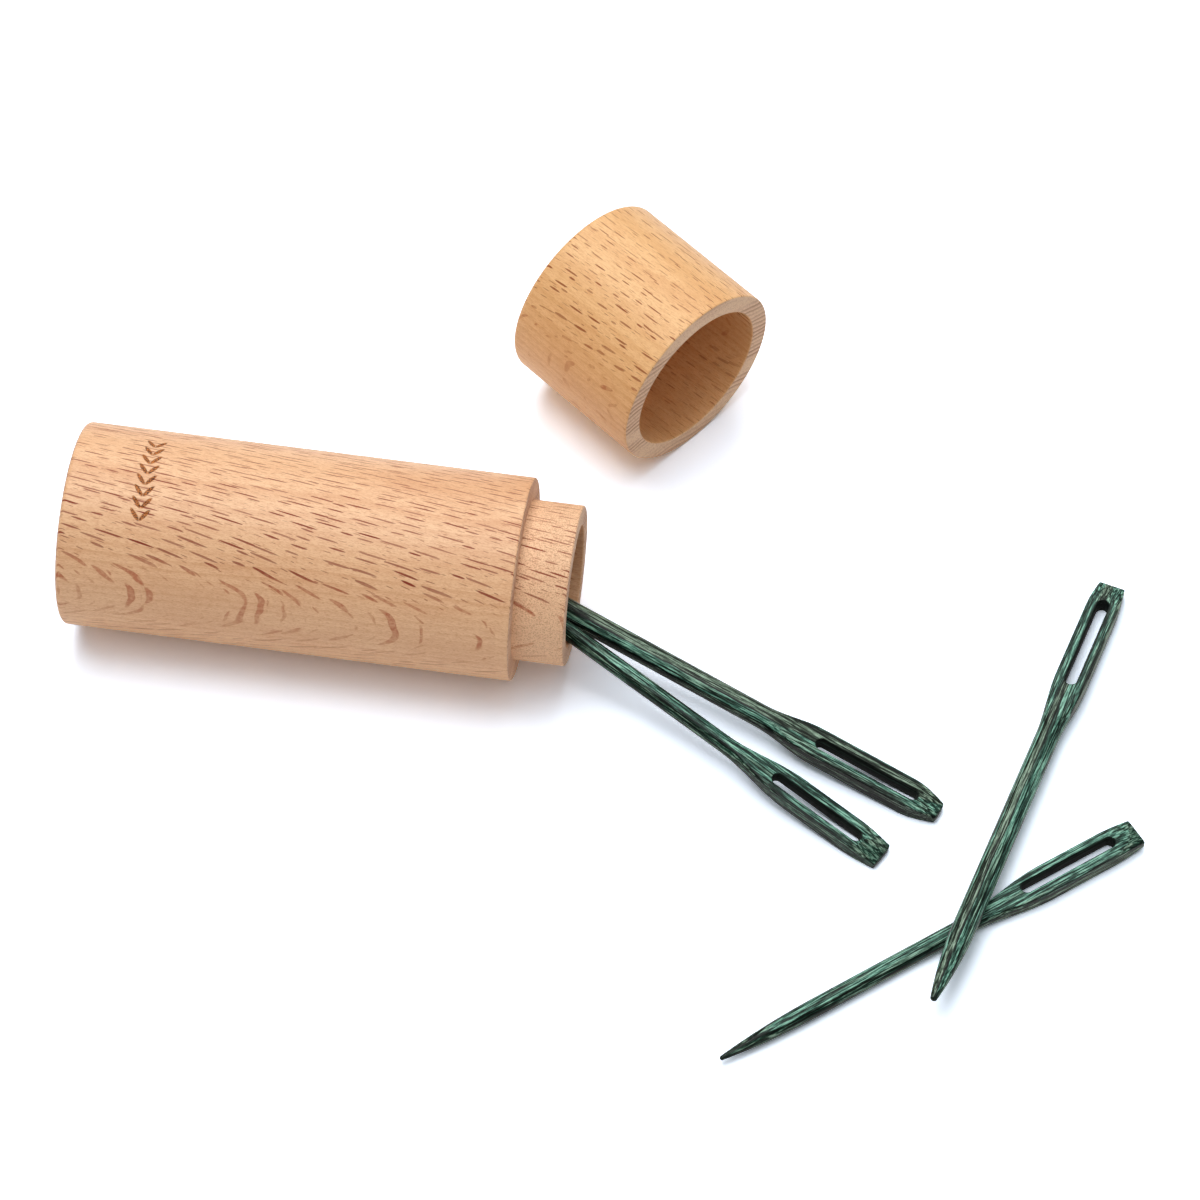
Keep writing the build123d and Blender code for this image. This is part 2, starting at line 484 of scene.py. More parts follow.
@dataclass(frozen=True)
class BurnedBraid:
    """A burned column of knit stitches, round the case near its closed end.

    Attributes:
        along: Its distance from the closed end, in millimetres.
        stitches: How many stitches it has.
        pitch: The height of one stitch, measured round the case.
        reach: How far each leg's middle lies to the side of the column's middle.
        leg_length: Half a leg's length.
        leg_width: Half a leg's width.
        lean: How far the legs lean from the case's length, in radians.
        depth_radius: Only wood farther than this from the axis is burned.
        colour: The scorched wood.
        dots: The wood where it is burned deepest.
    """

    along: float = 13.2
    stitches: int = 8
    pitch: float = 2.1
    reach: float = 0.82
    leg_length: float = 1.25
    leg_width: float = 0.34
    lean: float = math.radians(52)
    depth_radius: float = 16.0
    colour: Colour = srgb(190, 108, 40)
    dots: Colour = srgb(70, 30, 8)

    def marks(self, graph: Graph, blank: Field) -> Field:
        """Where the braid is burned into the side.

        Args:
            graph: The material's graph.
            blank: The place in the blank.

        Returns:
            1 on a stitch and 0 beside it.
        """
        along, front, up = graph.split(blank)
        height = front.math("ARCTAN2", up) * front.hypot(up)
        inside = abs(height).math("LESS_THAN", self.stitches * self.pitch / 2)
        outside = front.hypot(up).math("GREATER_THAN", self.depth_radius)
        rise = ((height / self.pitch).math("FRACT") - 0.5) * self.pitch
        side = abs(along - self.along) - self.reach
        lengthwise = side * math.cos(self.lean) + rise * math.sin(self.lean)
        crosswise = rise * math.cos(self.lean) - side * math.sin(self.lean)
        leg = (lengthwise / self.leg_length).hypot(crosswise / self.leg_width)
        return leg.ramp(1.2, 0.8) * inside * outside


@dataclass(frozen=True)
class Rays:
    """A beech's rays of one size, in millimetres.

    Attributes:
        spacing: From one ray to the next, along the grain and across the rays.
        longest: Half the length of the longest ray.
        half_width: Half the thickness of a ray.
        share: The share of the places that hold a ray.
    """

    spacing: tuple[float, float]
    longest: float
    half_width: float
    share: float

    def cut(self, graph: Graph, grain: Field, across: Field, half_width: Value, seed: float) -> Field:
        """The rays as the surface cuts them: spindles along the grain.

        Args:
            graph: The material's graph.
            grain: The place along the grain.
            across: The place across the rays.
            half_width: Half the thickness of a ray at this place.
            seed: Which rays there are.

        Returns:
            1 inside a ray and 0 in the wood, times how dark the ray is.
        """
        lengthwise, crosswise = self.spacing
        cell = graph.vector(grain / lengthwise + seed, across / crosswise + seed * 0.37)
        voronoi = {"Vector": cell, "Scale": 1.0, "Randomness": 0.9}
        chance = graph.add("ShaderNodeTexVoronoi", voronoi, "Color", voronoi_dimensions="2D")
        centre = Field(graph, chance.socket.node.outputs["Position"])
        away = graph.add("ShaderNodeVectorMath", {0: cell, 1: centre}, operation="SUBTRACT")
        d_grain, d_across, _ = graph.split(away)
        there, length, dark = graph.split(chance)
        half_length = length * (self.longest * 0.65) + self.longest * 0.35
        distance = (d_grain * lengthwise / half_length).hypot(d_across * crosswise / half_width)
        inside = distance.ramp(1.08, 0.78)
        return inside * there.math("LESS_THAN", self.share) * (dark * 0.4 + 0.6)


@dataclass(frozen=True)
class Plank:
    """A place in the plank that a blank is cut from, in millimetres.

    Attributes:
        grain: The place along the grain.
        straight: The place across the rays.
        across: The same, with the rays' slow waver.
        radial: The place along the rays, across the growth rings.
        wander: The waver itself, about 0.
    """

    grain: Field
    straight: Field
    across: Field
    radial: Field
    wander: Field

    def noise(self, graph: Graph, lengthwise: float, crosswise: float, detail: float) -> Field:
        """Noise drawn out along the grain, with a frequency along it and one across it."""
        place = graph.vector(self.grain * lengthwise, self.across * crosswise, self.radial * crosswise)
        return graph.noise(place, detail=detail)


@dataclass(frozen=True)
class Beech:
    """Beech, with growth rings across the radial direction and rays as thin sheets along it.

    Attributes:
        name: The material's name.
        pale: The wood between two ring lines.
        late: The wood of a ring line.
        fleck: A ray where the surface cuts it.
        flake: A ray where the surface lies along its flat side.
        fresh: Wood that is turned but not waxed.
        cut_across_and_highlight: Wood that is cut across its grain, made pale: partly its own colour,
            partly a painted highlight on the rims and end faces.
        ray_elevation: How far the rays' flat sides are turned up from the blank's front, in degrees.
        ray_lean: How far the rays lean along the blank, in degrees.
        seed: Where in the plank the blank is cut.
        broad_rays: The rays that show most.
        braid: A burned ornament, or None.
        fine_rays: The rays between them.
        ring_spacing: From one ring line to the next, in millimetres.
        end_line: A ring line where the wood is cut across its grain.
        stipple: The specks of sanded wood.
        shade: The raw bore's darker, redder tint: partly the bored wood's own colour, partly painted
            shade inside the bore.
        roughness: The waxed surface's roughness.
        gloss: The waxed surface's specular level.
    """

    name: str
    pale: Colour
    late: Colour
    fleck: Colour
    flake: Colour
    fresh: Colour
    cut_across_and_highlight: Colour
    ray_elevation: float
    ray_lean: float
    seed: float
    broad_rays: Rays
    braid: Optional[BurnedBraid] = None
    fine_rays: Rays = Rays((2.9, 0.62), 1.0, 0.042, 0.8)
    ring_spacing: float = 1.5
    end_line: Colour = srgb(166, 112, 90)
    stipple: Colour = srgb(172, 112, 78)
    shade: Colour = srgb(170, 92, 66)
    roughness: float = 0.40
    gloss: float = 0.35

    def axes(self) -> tuple[Vector, Vector, Vector]:
        """The plank's directions in the blank.

        Returns:
            Along the grain, across the rays and along the rays.
        """
        lean = math.radians(self.ray_lean)
        up = math.radians(self.ray_elevation)
        across = Vector((math.sin(lean), -math.cos(lean) * math.cos(up), math.cos(lean) * math.sin(up)))
        radial = Vector((0, math.sin(up), math.cos(up)))
        return radial.cross(across).normalized(), across, radial

    def plank(self, graph: Graph, blank: Field) -> Plank:
        """Where in the plank a place in the blank is.

        Args:
            graph: The material's graph.
            blank: The place in the blank.

        Returns:
            The place in the plank.
        """
        grain_axis, across_axis, radial_axis = self.axes()
        grain = graph.dot(blank, grain_axis) + self.seed
        straight = graph.dot(blank, across_axis)
        radial = graph.dot(blank, radial_axis)
        wander = graph.noise(graph.vector(grain * 0.03, straight * 0.12, radial * 0.12)) - 0.5
        return Plank(grain, straight, straight + wander * 1.4, radial, wander)

    def rays(self, graph: Graph, blank: Field, plank: Plank) -> tuple[Field, Field]:
        """The flecks and flakes of the rays.

        Args:
            graph: The material's graph.
            blank: The place in the blank.
            plank: The place in the plank.

        Returns:
            How much of a ray shows, and from 0 to 1 how far the surface lies along the rays.
        """
        _, across_axis, _ = self.axes()
        _, front, above = graph.split(blank)
        oblique = abs(front * across_axis.y + above * across_axis.z) / front.hypot(above)
        lengthwise = oblique.ramp(0.86, 0.97)
        widest = self.broad_rays.half_width
        half_width = lengthwise.ramp(0.0, 1.0, widest, widest * 0.85)
        broad = self.broad_rays.cut(graph, plank.grain, plank.across, half_width, self.seed)
        fine = self.fine_rays.cut(graph, plank.grain, plank.across, self.fine_rays.half_width,
                                  self.seed + 7.3)
        patches = graph.noise(blank, 1.1, 2.0).ramp(0.40, 0.60)
        shown = oblique.ramp(0.0, 0.6, 0.78, 1.0) * (1.0 - lengthwise * (0.50 - patches * 0.35))
        shown = shown * plank.radial.ramp(-5.5, 0.5, 0.5, 1.0)
        return broad.math("MAXIMUM", fine * 0.75) * shown, lengthwise

    def rings(self, graph: Graph, plank: Plank) -> tuple[Field, Field]:
        """The growth rings.

        Args:
            graph: The material's graph.
            plank: The place in the plank.

        Returns:
            The ring lines along the grain, and the closer ones where the wood is cut across it.
        """
        bent = plank.radial + plank.straight * plank.straight * 0.006 + plank.wander * 2.2
        ring = (bent / self.ring_spacing + self.seed).math("FRACT")
        uneven = graph.noise(graph.vector(plank.radial * 0.21, self.seed, 0.0), detail=1.0)
        uneven = uneven.ramp(0.35, 0.65)
        late = ring.ramp(0.35, 0.94) * ring.ramp(1.0, 0.95) * (uneven * 0.6 + 0.4)
        close = (bent / (self.ring_spacing * 0.7)).math("FRACT")
        return late, close.ramp(0.15, 0.8) * close.ramp(1.0, 0.85) * uneven

    def material(self) -> bpy.types.Material:
        """Builds the finish.

        Returns:
            The material.
        """
        made = bpy.data.materials.new(self.name)
        graph = shader_graph(made)
        blank = graph.attribute(Store.BLANK, "Vector")
        raw = graph.attribute(Store.RAW)
        end_grain = graph.attribute(Store.END_GRAIN).ramp(0.55, 0.95)
        sanded = raw.ramp(0.05, 0.3)
        bored = raw.ramp(0.5, 0.9)
        neck = sanded * (1.0 - bored)

        plank = self.plank(graph, blank)
        late, end_lines = self.rings(graph, plank)
        rays, lengthwise = self.rays(graph, blank, plank)
        rays = rays * (1.0 - end_grain)
        fibres = plank.noise(graph, 0.5, 5.6, 3.0)
        pores = plank.noise(graph, 1.9, 9.0, 1.0)
        cloud = plank.noise(graph, 0.05, 0.22, 1.0)
        specks = graph.noise(blank, 4.6, 2.0)

        wood = graph.mix(late * (end_grain * 0.45 + 0.35), self.pale, self.late)
        wood = graph.mix(fibres.ramp(0.44, 0.62) * 0.34, wood, self.late)
        wood = graph.mix(cloud.ramp(0.45, 0.7) * 0.2, wood, self.late)
        wood = graph.mix(neck * 0.6, wood, self.fresh)
        # End grain: its own colour, lightened as a painted highlight on the rims and end faces.
        wood = graph.mix(end_grain * 0.62, wood, self.cut_across_and_highlight)
        wood = graph.mix(end_lines * end_grain * 0.75, wood, self.end_line)
        speckled = neck.math("MAXIMUM", end_grain * 0.4)
        wood = graph.mix(speckled * specks.ramp(0.46, 0.66) * 0.5, wood, self.stipple)
        wood = graph.mix(pores.ramp(0.52, 0.66) * 0.27, wood, self.flake)
        wood = graph.mix(rays * 0.97, wood, graph.mix(lengthwise, self.fleck, self.flake))
        # Painted shade inside the bore, together with the raw bored wood's own redder colour.
        wood = graph.mix(bored * 0.08, wood, self.shade)

        height = fibres * -0.012 + pores * -0.012 - rays * 0.016
        height = height - specks * (sanded * 0.020 + end_grain * 0.02)
        rough = self.roughness + rays * 0.25 + sanded * 0.2 + end_grain * 0.15
        if self.braid is not None:
            burned = self.braid.marks(graph, blank)
            dots = graph.noise(blank, 5.5, 0.0).ramp(0.48, 0.60)
            scorch = graph.mix(dots, self.braid.colour, self.braid.dots)
            wood = graph.mix(burned * 0.92, wood, scorch)
            height = height - burned * (dots * 0.05 + 0.03)
            rough = rough + burned * 0.2
        graph.surface(wood, rough, height, 1.0, self.gloss)
        return made


class Dye(Enum):
    """What a veneer is dyed, as its bare wood looks; the darker dyes laid under a needle also stand in
    as painted shade.
    """

    BLACK_GREEN = srgb(16, 32, 26)
    DEEP = srgb(32, 62, 50)
    TEAL = srgb(72, 112, 98)
    GREY = srgb(74, 90, 77)


@dataclass(frozen=True)
class Laminate:
    """Dyed veneers glued into a stick and lacquered.

    Attributes:
        name: The material's name.
        turn: How far the veneers are turned about the needle, in degrees, from flat to upright.
        veneer: The thickness of a veneer, in millimetres.
        glue_line: How far one of the glue lines lies from the needle's axis.
        dyes_and_shade: The veneers, from the third one below that glue line upwards: their dyes, laid on
            most needles so that the darker ones paint shade on the underside and the paler ones a
            highlight on top.
        seed: Which wood the veneers are cut from.
        pale: What the lightest fibres go towards.
        glue: A glue line.
        cut_end: The sanded ends, across the grain.
        slot_wall: Painted shade on the wall of the eye's slot, near black.
        gloss: The lacquer's specular level.
    """

    name: str
    turn: float
    veneer: float
    glue_line: float
    dyes_and_shade: tuple[Dye, Dye, Dye, Dye, Dye, Dye]
    seed: float
    pale: Colour = srgb(176, 200, 182)
    glue: Colour = srgb(9, 14, 12)
    cut_end: Colour = srgb(22, 32, 28)
    slot_wall: Colour = srgb(14, 20, 18)
    gloss: float = 0.12

    def veneer_dye_and_shade(self, graph: Graph, layer: Field) -> Field:
        """The colour of each veneer: its dye, which on most needles also paints the shade underneath and
        the highlight on top.

        Args:
            graph: The material's graph.
            layer: The veneer's number, from 0 for the one above the glue line.

        Returns:
            The colour.
        """
        place = (layer + 3.5) / len(self.dyes_and_shade)
        ramp = graph.add("ShaderNodeValToRGB", {0: place})
        stops = ramp.socket.node.color_ramp
        stops.interpolation = "CONSTANT"
        for i, dye in enumerate(self.dyes_and_shade):
            stop = stops.elements[i] if i < 2 else stops.elements.new(1.0)
            stop.position = i / len(self.dyes_and_shade)
            stop.color = dye.value
        return ramp

    def material(self) -> bpy.types.Material:
        """Builds the finish.

        Returns:
            The material.
        """
        made = bpy.data.materials.new(self.name)
        graph = shader_graph(made)
        blank = graph.attribute(Store.BLANK, "Vector")
        wall = graph.attribute(Store.SLOT_WALL)
        along, side, up = graph.split(blank)
        turn = math.radians(self.turn)
        wave = graph.noise(graph.vector(along * 0.09 + self.seed, side * 0.4, up * 0.4)) - 0.5
        depth = up * math.cos(turn) + side * math.sin(turn) + wave * 0.42
        flat = side * math.cos(turn) - up * math.sin(turn)
        layer_place = (depth - self.glue_line) / self.veneer
        layer = layer_place.math("FLOOR")
        edge = abs(layer_place.math("FRACT") - 0.5)
        gap = graph.noise(graph.vector(along * 0.35, layer * 3.0, self.seed))
        glue = edge.ramp(0.37, 0.45) * gap.ramp(0.36, 0.5, 0.5, 1.0) * along.ramp(4.0, 8.0, 0.2, 1.0)

        moved = along + layer * 31.0 + self.seed
        grain = graph.noise(graph.vector(moved * 0.06, flat * 1.1, depth * 1.6))
        streaks = graph.noise(graph.vector(moved * 0.11, flat * 3.4, depth * 3.4), detail=1.0)
        dashes = graph.noise(graph.vector(moved * 0.38, flat * 6.5, depth * 6.5), detail=2.0)
        specks = graph.noise(graph.vector(moved * 1.5, flat * 10.0, depth * 10.0), detail=1.0)

        light = streaks.ramp(0.42, 0.60) * 0.5 + dashes.ramp(0.40, 0.61) * 0.35
        light = light + specks.ramp(0.36, 0.66) * 0.15
        wood = graph.mix(grain.ramp(0.47, 0.60) * 0.6, self.veneer_dye_and_shade(graph, layer), Dye.GREY.value)
        strength = light * light * (light * 3.1 + 1.5) + 0.11
        wood = graph.add("ShaderNodeVectorMath", {0: wood, "Scale": strength}, operation="SCALE")
        wood = graph.mix(light.ramp(0.6, 1.0) * 0.35, wood, self.pale)
        wood = graph.mix(glue * 0.92, wood, self.glue)
        tip = side.hypot(up).ramp(0.9, 0.5)
        wood = graph.mix(along.ramp(0.5, 0.05).math("MAXIMUM", tip) * 0.8, wood, self.cut_end)
        # Painted shade: the eye's slot wall is darkened near black.
        wood = graph.mix(wall * 0.9, wood, self.slot_wall)

        height = streaks * 0.014 + dashes * 0.008 - glue * 0.012
        graph.surface(wood, dashes * 0.2 + 0.16 + wall * 0.4, height, 0.8, self.gloss)
        return made


@dataclass
class TurnedPiece:
    """A piece of beech turned and bored on the lathe.

    Attributes:
        node: The CAD node that it stands for.
        slot: The record's material slot. Not used.
        corners: Its outline, from the axis at the closed end to the axis at the bore's floor.
        length: Its length, in millimetres.
        turn: The way its bore faces, in degrees from +X.
        finish: Its wood.
        facets: How many facets it has around.
        step: The longest stretch between two rings of points, in millimetres.
    """

    node: str
    slot: str
    corners: list[Corner]
    length: float
    turn: float
    finish: Beech
    facets: int = 192
    step: float = 1.6

    def place(self) -> Matrix:
        """Where the piece lies, from the middle of its CAD node's box.

        Returns:
            From the blank's millimetres to the row frame.
        """
        low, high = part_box(self.node)
        middle = (low + high) / 2
        turned = Matrix.Rotation(math.radians(self.turn), 4, "Z")
        centred = Matrix.Translation((-self.length / 2, 0, 0))
        return Matrix.Translation(middle) @ turned @ Matrix.Scale(MILLIMETRE, 4) @ centred

    def build(self, tree: ShapeTree) -> bpy.types.Object:
        """Turns, places and dresses the piece.

        Args:
            tree: The lathe's tree.

        Returns:
            The finished piece.
        """
        points = turned_outline(self.corners, self.step)
        mesh = bpy.data.meshes.new(self.node + "_outline")
        mesh.from_pydata(points, [(i, i + 1) for i in range(len(points) - 1)], [])
        source = put(mesh.name, mesh)
        tree.apply(source, {"Facets": self.facets, "Material": self.finish.material()})
        return finished_piece(source, self.node, "wood", self.place())


def needle_tree() -> ShapeTree:
    """Builds the tree that shapes a needle along +X, from its eye end to its point.

    The needle is a round rod that swells towards the eye and is planed there on four sides. The slot
    is cut through it last, with softened edges.

    Returns:
        The tree.
    """
    sizes = ["Length", "Shaft Diameter", "Tip Diameter", "Point Length", "Eye Width",
             "Eye Thickness", "End Width", "End Thickness", "Sanded Length", "Flare Start",
             "Flare Length", "Slot Start", "Slot Length", "Slot Width", "Slot Offset", "Edge Softness"]
    shape = ShapeTree("Shape a needle", sizes, ["Stations", "Facets"])
    graph = shape.graph
    size = {name: shape.input(name) for name in sizes}
    mesh, row, angle = shape.grid(shape.input("Stations") + 1.0, shape.input("Facets"))
    angle = angle * -1.0
    share = row / shape.input("Stations")
    along = (1.0 - (share * math.pi).math("COSINE")) * 0.5 * size["Length"]

    flare_end = size["Flare Start"] + size["Flare Length"]
    swelling = along.ramp(flare_end, size["Flare Start"])
    sanded = (along / size["Sanded Length"] * (math.pi / 2)).math("MINIMUM", math.pi / 2).math("SINE")

    past_corner = 0.1
    shaft = size["Shaft Diameter"] * 0.5
    tip = size["Tip Diameter"] * 0.5
    into_point = ((along - size["Length"] + size["Point Length"]) / size["Point Length"])
    into_point = into_point.math("MAXIMUM", 0.0)
    corner = size["Eye Width"].hypot(size["Eye Thickness"]) * 0.5
    thinning = (shaft - tip) * into_point * into_point
    round_radius = shaft - thinning + swelling * (corner + past_corner - shaft)

    beside_shaft = shaft * 1.015
    half_width = size["End Width"] * 0.5 + (size["Eye Width"] - size["End Width"]) * 0.5 * sanded
    half_thickness = (size["End Thickness"] * 0.5
                      + (size["Eye Thickness"] - size["End Thickness"]) * 0.5 * sanded)
    side_plane = half_width * swelling + beside_shaft * (1.0 - swelling)
    flat_plane = half_thickness * swelling + beside_shaft * (1.0 - swelling)

    side = abs(angle.math("COSINE")) + HAIR
    up = abs(angle.math("SINE")) + HAIR
    softness = size["Edge Softness"]
    reach = (side_plane / side).math("SMOOTH_MIN", flat_plane / up, softness)
    reach = reach.math("SMOOTH_MIN", round_radius, softness)
    end_softness = 0.30
    tip_softness = 0.8
    end_round = (along / end_softness).math("MINIMUM", 1.0)
    tip_round = ((size["Length"] - along) / (tip * tip_softness)).math("MINIMUM", 1.0)
    closing = ((2.0 - end_round) * end_round).math("SQRT") * ((2.0 - tip_round) * tip_round).math("SQRT")
    radius = reach * closing
    position = graph.vector(along, radius * angle.math("COSINE"), radius * angle.math("SINE"))
    stick = shape.bend(mesh, position)

    blade_rows = 12.0
    blade_facets = 72.0
    ease = 0.12
    overshoot = 0.12
    blade, level, turn = shape.grid(graph.constant(blade_rows), graph.constant(blade_facets))
    turn = turn * -1.0
    from_middle = level - (blade_rows - 1.0) / 2
    ring = abs(from_middle) - 0.5
    lift = ring.math("MINIMUM", blade_rows / 2 - 2.0) * ((ease + overshoot) / (blade_rows / 2 - 2.0))
    height = (size["Eye Thickness"] * 0.5 - ease + lift) * from_middle.math("SIGN")
    open_ring = ring.math("LESS_THAN", blade_rows / 2 - 1.5)
    blade_radius = (size["Slot Width"] * 0.5 - ease * 0.5 + lift * lift / ease) * open_ring
    straight = size["Slot Length"] * 0.5 - size["Slot Width"] * 0.5
    facing = turn.math("COSINE")
    blade_x = (facing.math("SIGN") * straight * open_ring + facing * blade_radius
               + size["Slot Start"] + size["Slot Length"] * 0.5)
    blade_y = turn.math("SINE") * blade_radius + size["Slot Offset"]
    blade = shape.bend(blade, graph.vector(blade_x, blade_y, height))
    inputs = {"Mesh 1": stick, "Mesh 2": blade}
    cut = graph.add("GeometryNodeMeshBoolean", inputs, operation="DIFFERENCE", solver="EXACT")

    where = graph.add("GeometryNodeInputPosition")
    x, y, _ = graph.split(where)
    past = (abs(x - size["Slot Start"] - size["Slot Length"] * 0.5) - straight).math("MAXIMUM", 0.0)
    beside_wall = 0.06
    wall_reach = size["Slot Width"] * 0.5 + beside_wall
    in_slot = past.hypot(y - size["Slot Offset"]).math("LESS_THAN", wall_reach)
    solid = shape.store(cut, Store.SLOT_WALL, in_slot, "FLOAT", "FACE")
    solid = shape.store(solid, Store.BLANK, where, "FLOAT_VECTOR", "POINT")
    sharp_angle = math.radians(38)
    shape.close(solid, sharp_angle)
    return shape


@dataclass(frozen=True)
class NeedleSize:
    """What the needles of one size share, in millimetres.

    Attributes:
        length: From the eye's end to the point.
        shaft: The shaft's diameter.
        tip: The point's diameter.
        point: The length over which the shaft thins to its point.
        eye_width: The planed eye's width.
        eye_thickness: The planed eye's thickness.
        flare: The length over which the shaft becomes the eye.
        overlap: How far that begins beside the slot.
    """

    length: float
    shaft: float
    tip: float
    point: float
    eye_width: float
    eye_thickness: float
    flare: float
    overlap: float


LARGE = NeedleSize(89.0, 4.0, 1.0, 16.0, 5.5, 3.17, 12.0, 1.5)
SMALL = NeedleSize(80.7, 3.0, 0.7, 18.0, 5.3, 2.9, 15.0, 5.0)


@dataclass
class Needle:
    """A laminated darning needle.

    Attributes:
        node: The CAD node that it stands for.
        slot: The record's material slot. Not used.
        size: Which size it is.
        slot_length: The length of its eye's slot, in millimetres.
        slot_margin: What is left between the slot and the end.
        end_width: The width of its sanded end.
        slot_offset: How far the slot is cut off centre.
        eye_end: The middle of its eye's end, in the row frame.
        turn: The way its point faces, in degrees from +X.
        rise: How steeply it climbs towards its point, in degrees.
        finish: Its veneers.
        slot_width: The width of its eye's slot.
        sanded_length: How far its end is sanded thinner and narrower.
        end_thickness: What is left of the thickness at the very end.
        edge_softness: How softly the planed sides meet.
        stations: How many stretches it is divided into.
        facets: How many facets it has around.
    """

    node: str
    slot: str
    size: NeedleSize
    slot_length: float
    slot_margin: float
    end_width: float
    slot_offset: float
    eye_end: tuple[float, float, float]
    turn: float
    rise: float
    finish: Laminate
    slot_width: float = 2.15
    sanded_length: float = 6.5
    end_thickness: float = 1.3
    edge_softness: float = 0.26
    stations: int = 330
    facets: int = 128

    def place(self) -> Matrix:
        """Where the needle lies.

        Returns:
            From the blank's millimetres to the row frame.
        """
        turned = Matrix.Rotation(math.radians(self.turn), 4, "Z")
        tilted = Matrix.Rotation(-math.radians(self.rise), 4, "Y")
        return Matrix.Scale(MILLIMETRE, 4) @ Matrix.Translation(self.eye_end) @ turned @ tilted

    def build(self, tree: ShapeTree) -> bpy.types.Object:
        """Shapes, places and dresses the needle.

        Args:
            tree: The needles' tree.

        Returns:
            The finished needle.
        """
        mesh = bpy.data.meshes.new(self.node + "_stick")
        source = put(mesh.name, mesh)
        size = self.size
        tree.apply(source, {
            "Length": size.length, "Shaft Diameter": size.shaft, "Tip Diameter": size.tip,
            "Point Length": size.point, "Eye Width": size.eye_width,
            "Eye Thickness": size.eye_thickness, "End Width": self.end_width,
            "End Thickness": self.end_thickness, "Sanded Length": self.sanded_length,
            "Flare Start": self.slot_margin + self.slot_length - size.overlap,
            "Flare Length": size.flare, "Slot Start": self.slot_margin,
            "Slot Length": self.slot_length, "Slot Width": self.slot_width,
            "Slot Offset": self.slot_offset, "Edge Softness": self.edge_softness,
            "Stations": self.stations, "Facets": self.facets,
            "Material": self.finish.material()})
        return finished_piece(source, self.node, "stick", self.place())


@dataclass(frozen=True)
class Lamp:
    """A soft square lamp.

    Attributes:
        name: Its name.
        place: Where it stands, in metres.
        size: Its side, in metres.
        watts: Its power.
    """

    name: str
    place: tuple[float, float, float]
    size: float
    watts: float

    def build(self, aim: Sequence[float]) -> None:
        """Makes the lamp.

        Args:
            aim: What it faces.
        """
        data = bpy.data.lights.new(self.name, "AREA")
        data.shape = "SQUARE"
        data.size = self.size
        data.energy = self.watts
        lamp = put(self.name, data)
        lamp.location = self.place
        facing = Vector(aim) - Vector(self.place)
        lamp.rotation_euler = facing.to_track_quat("-Z", "Y").to_euler()


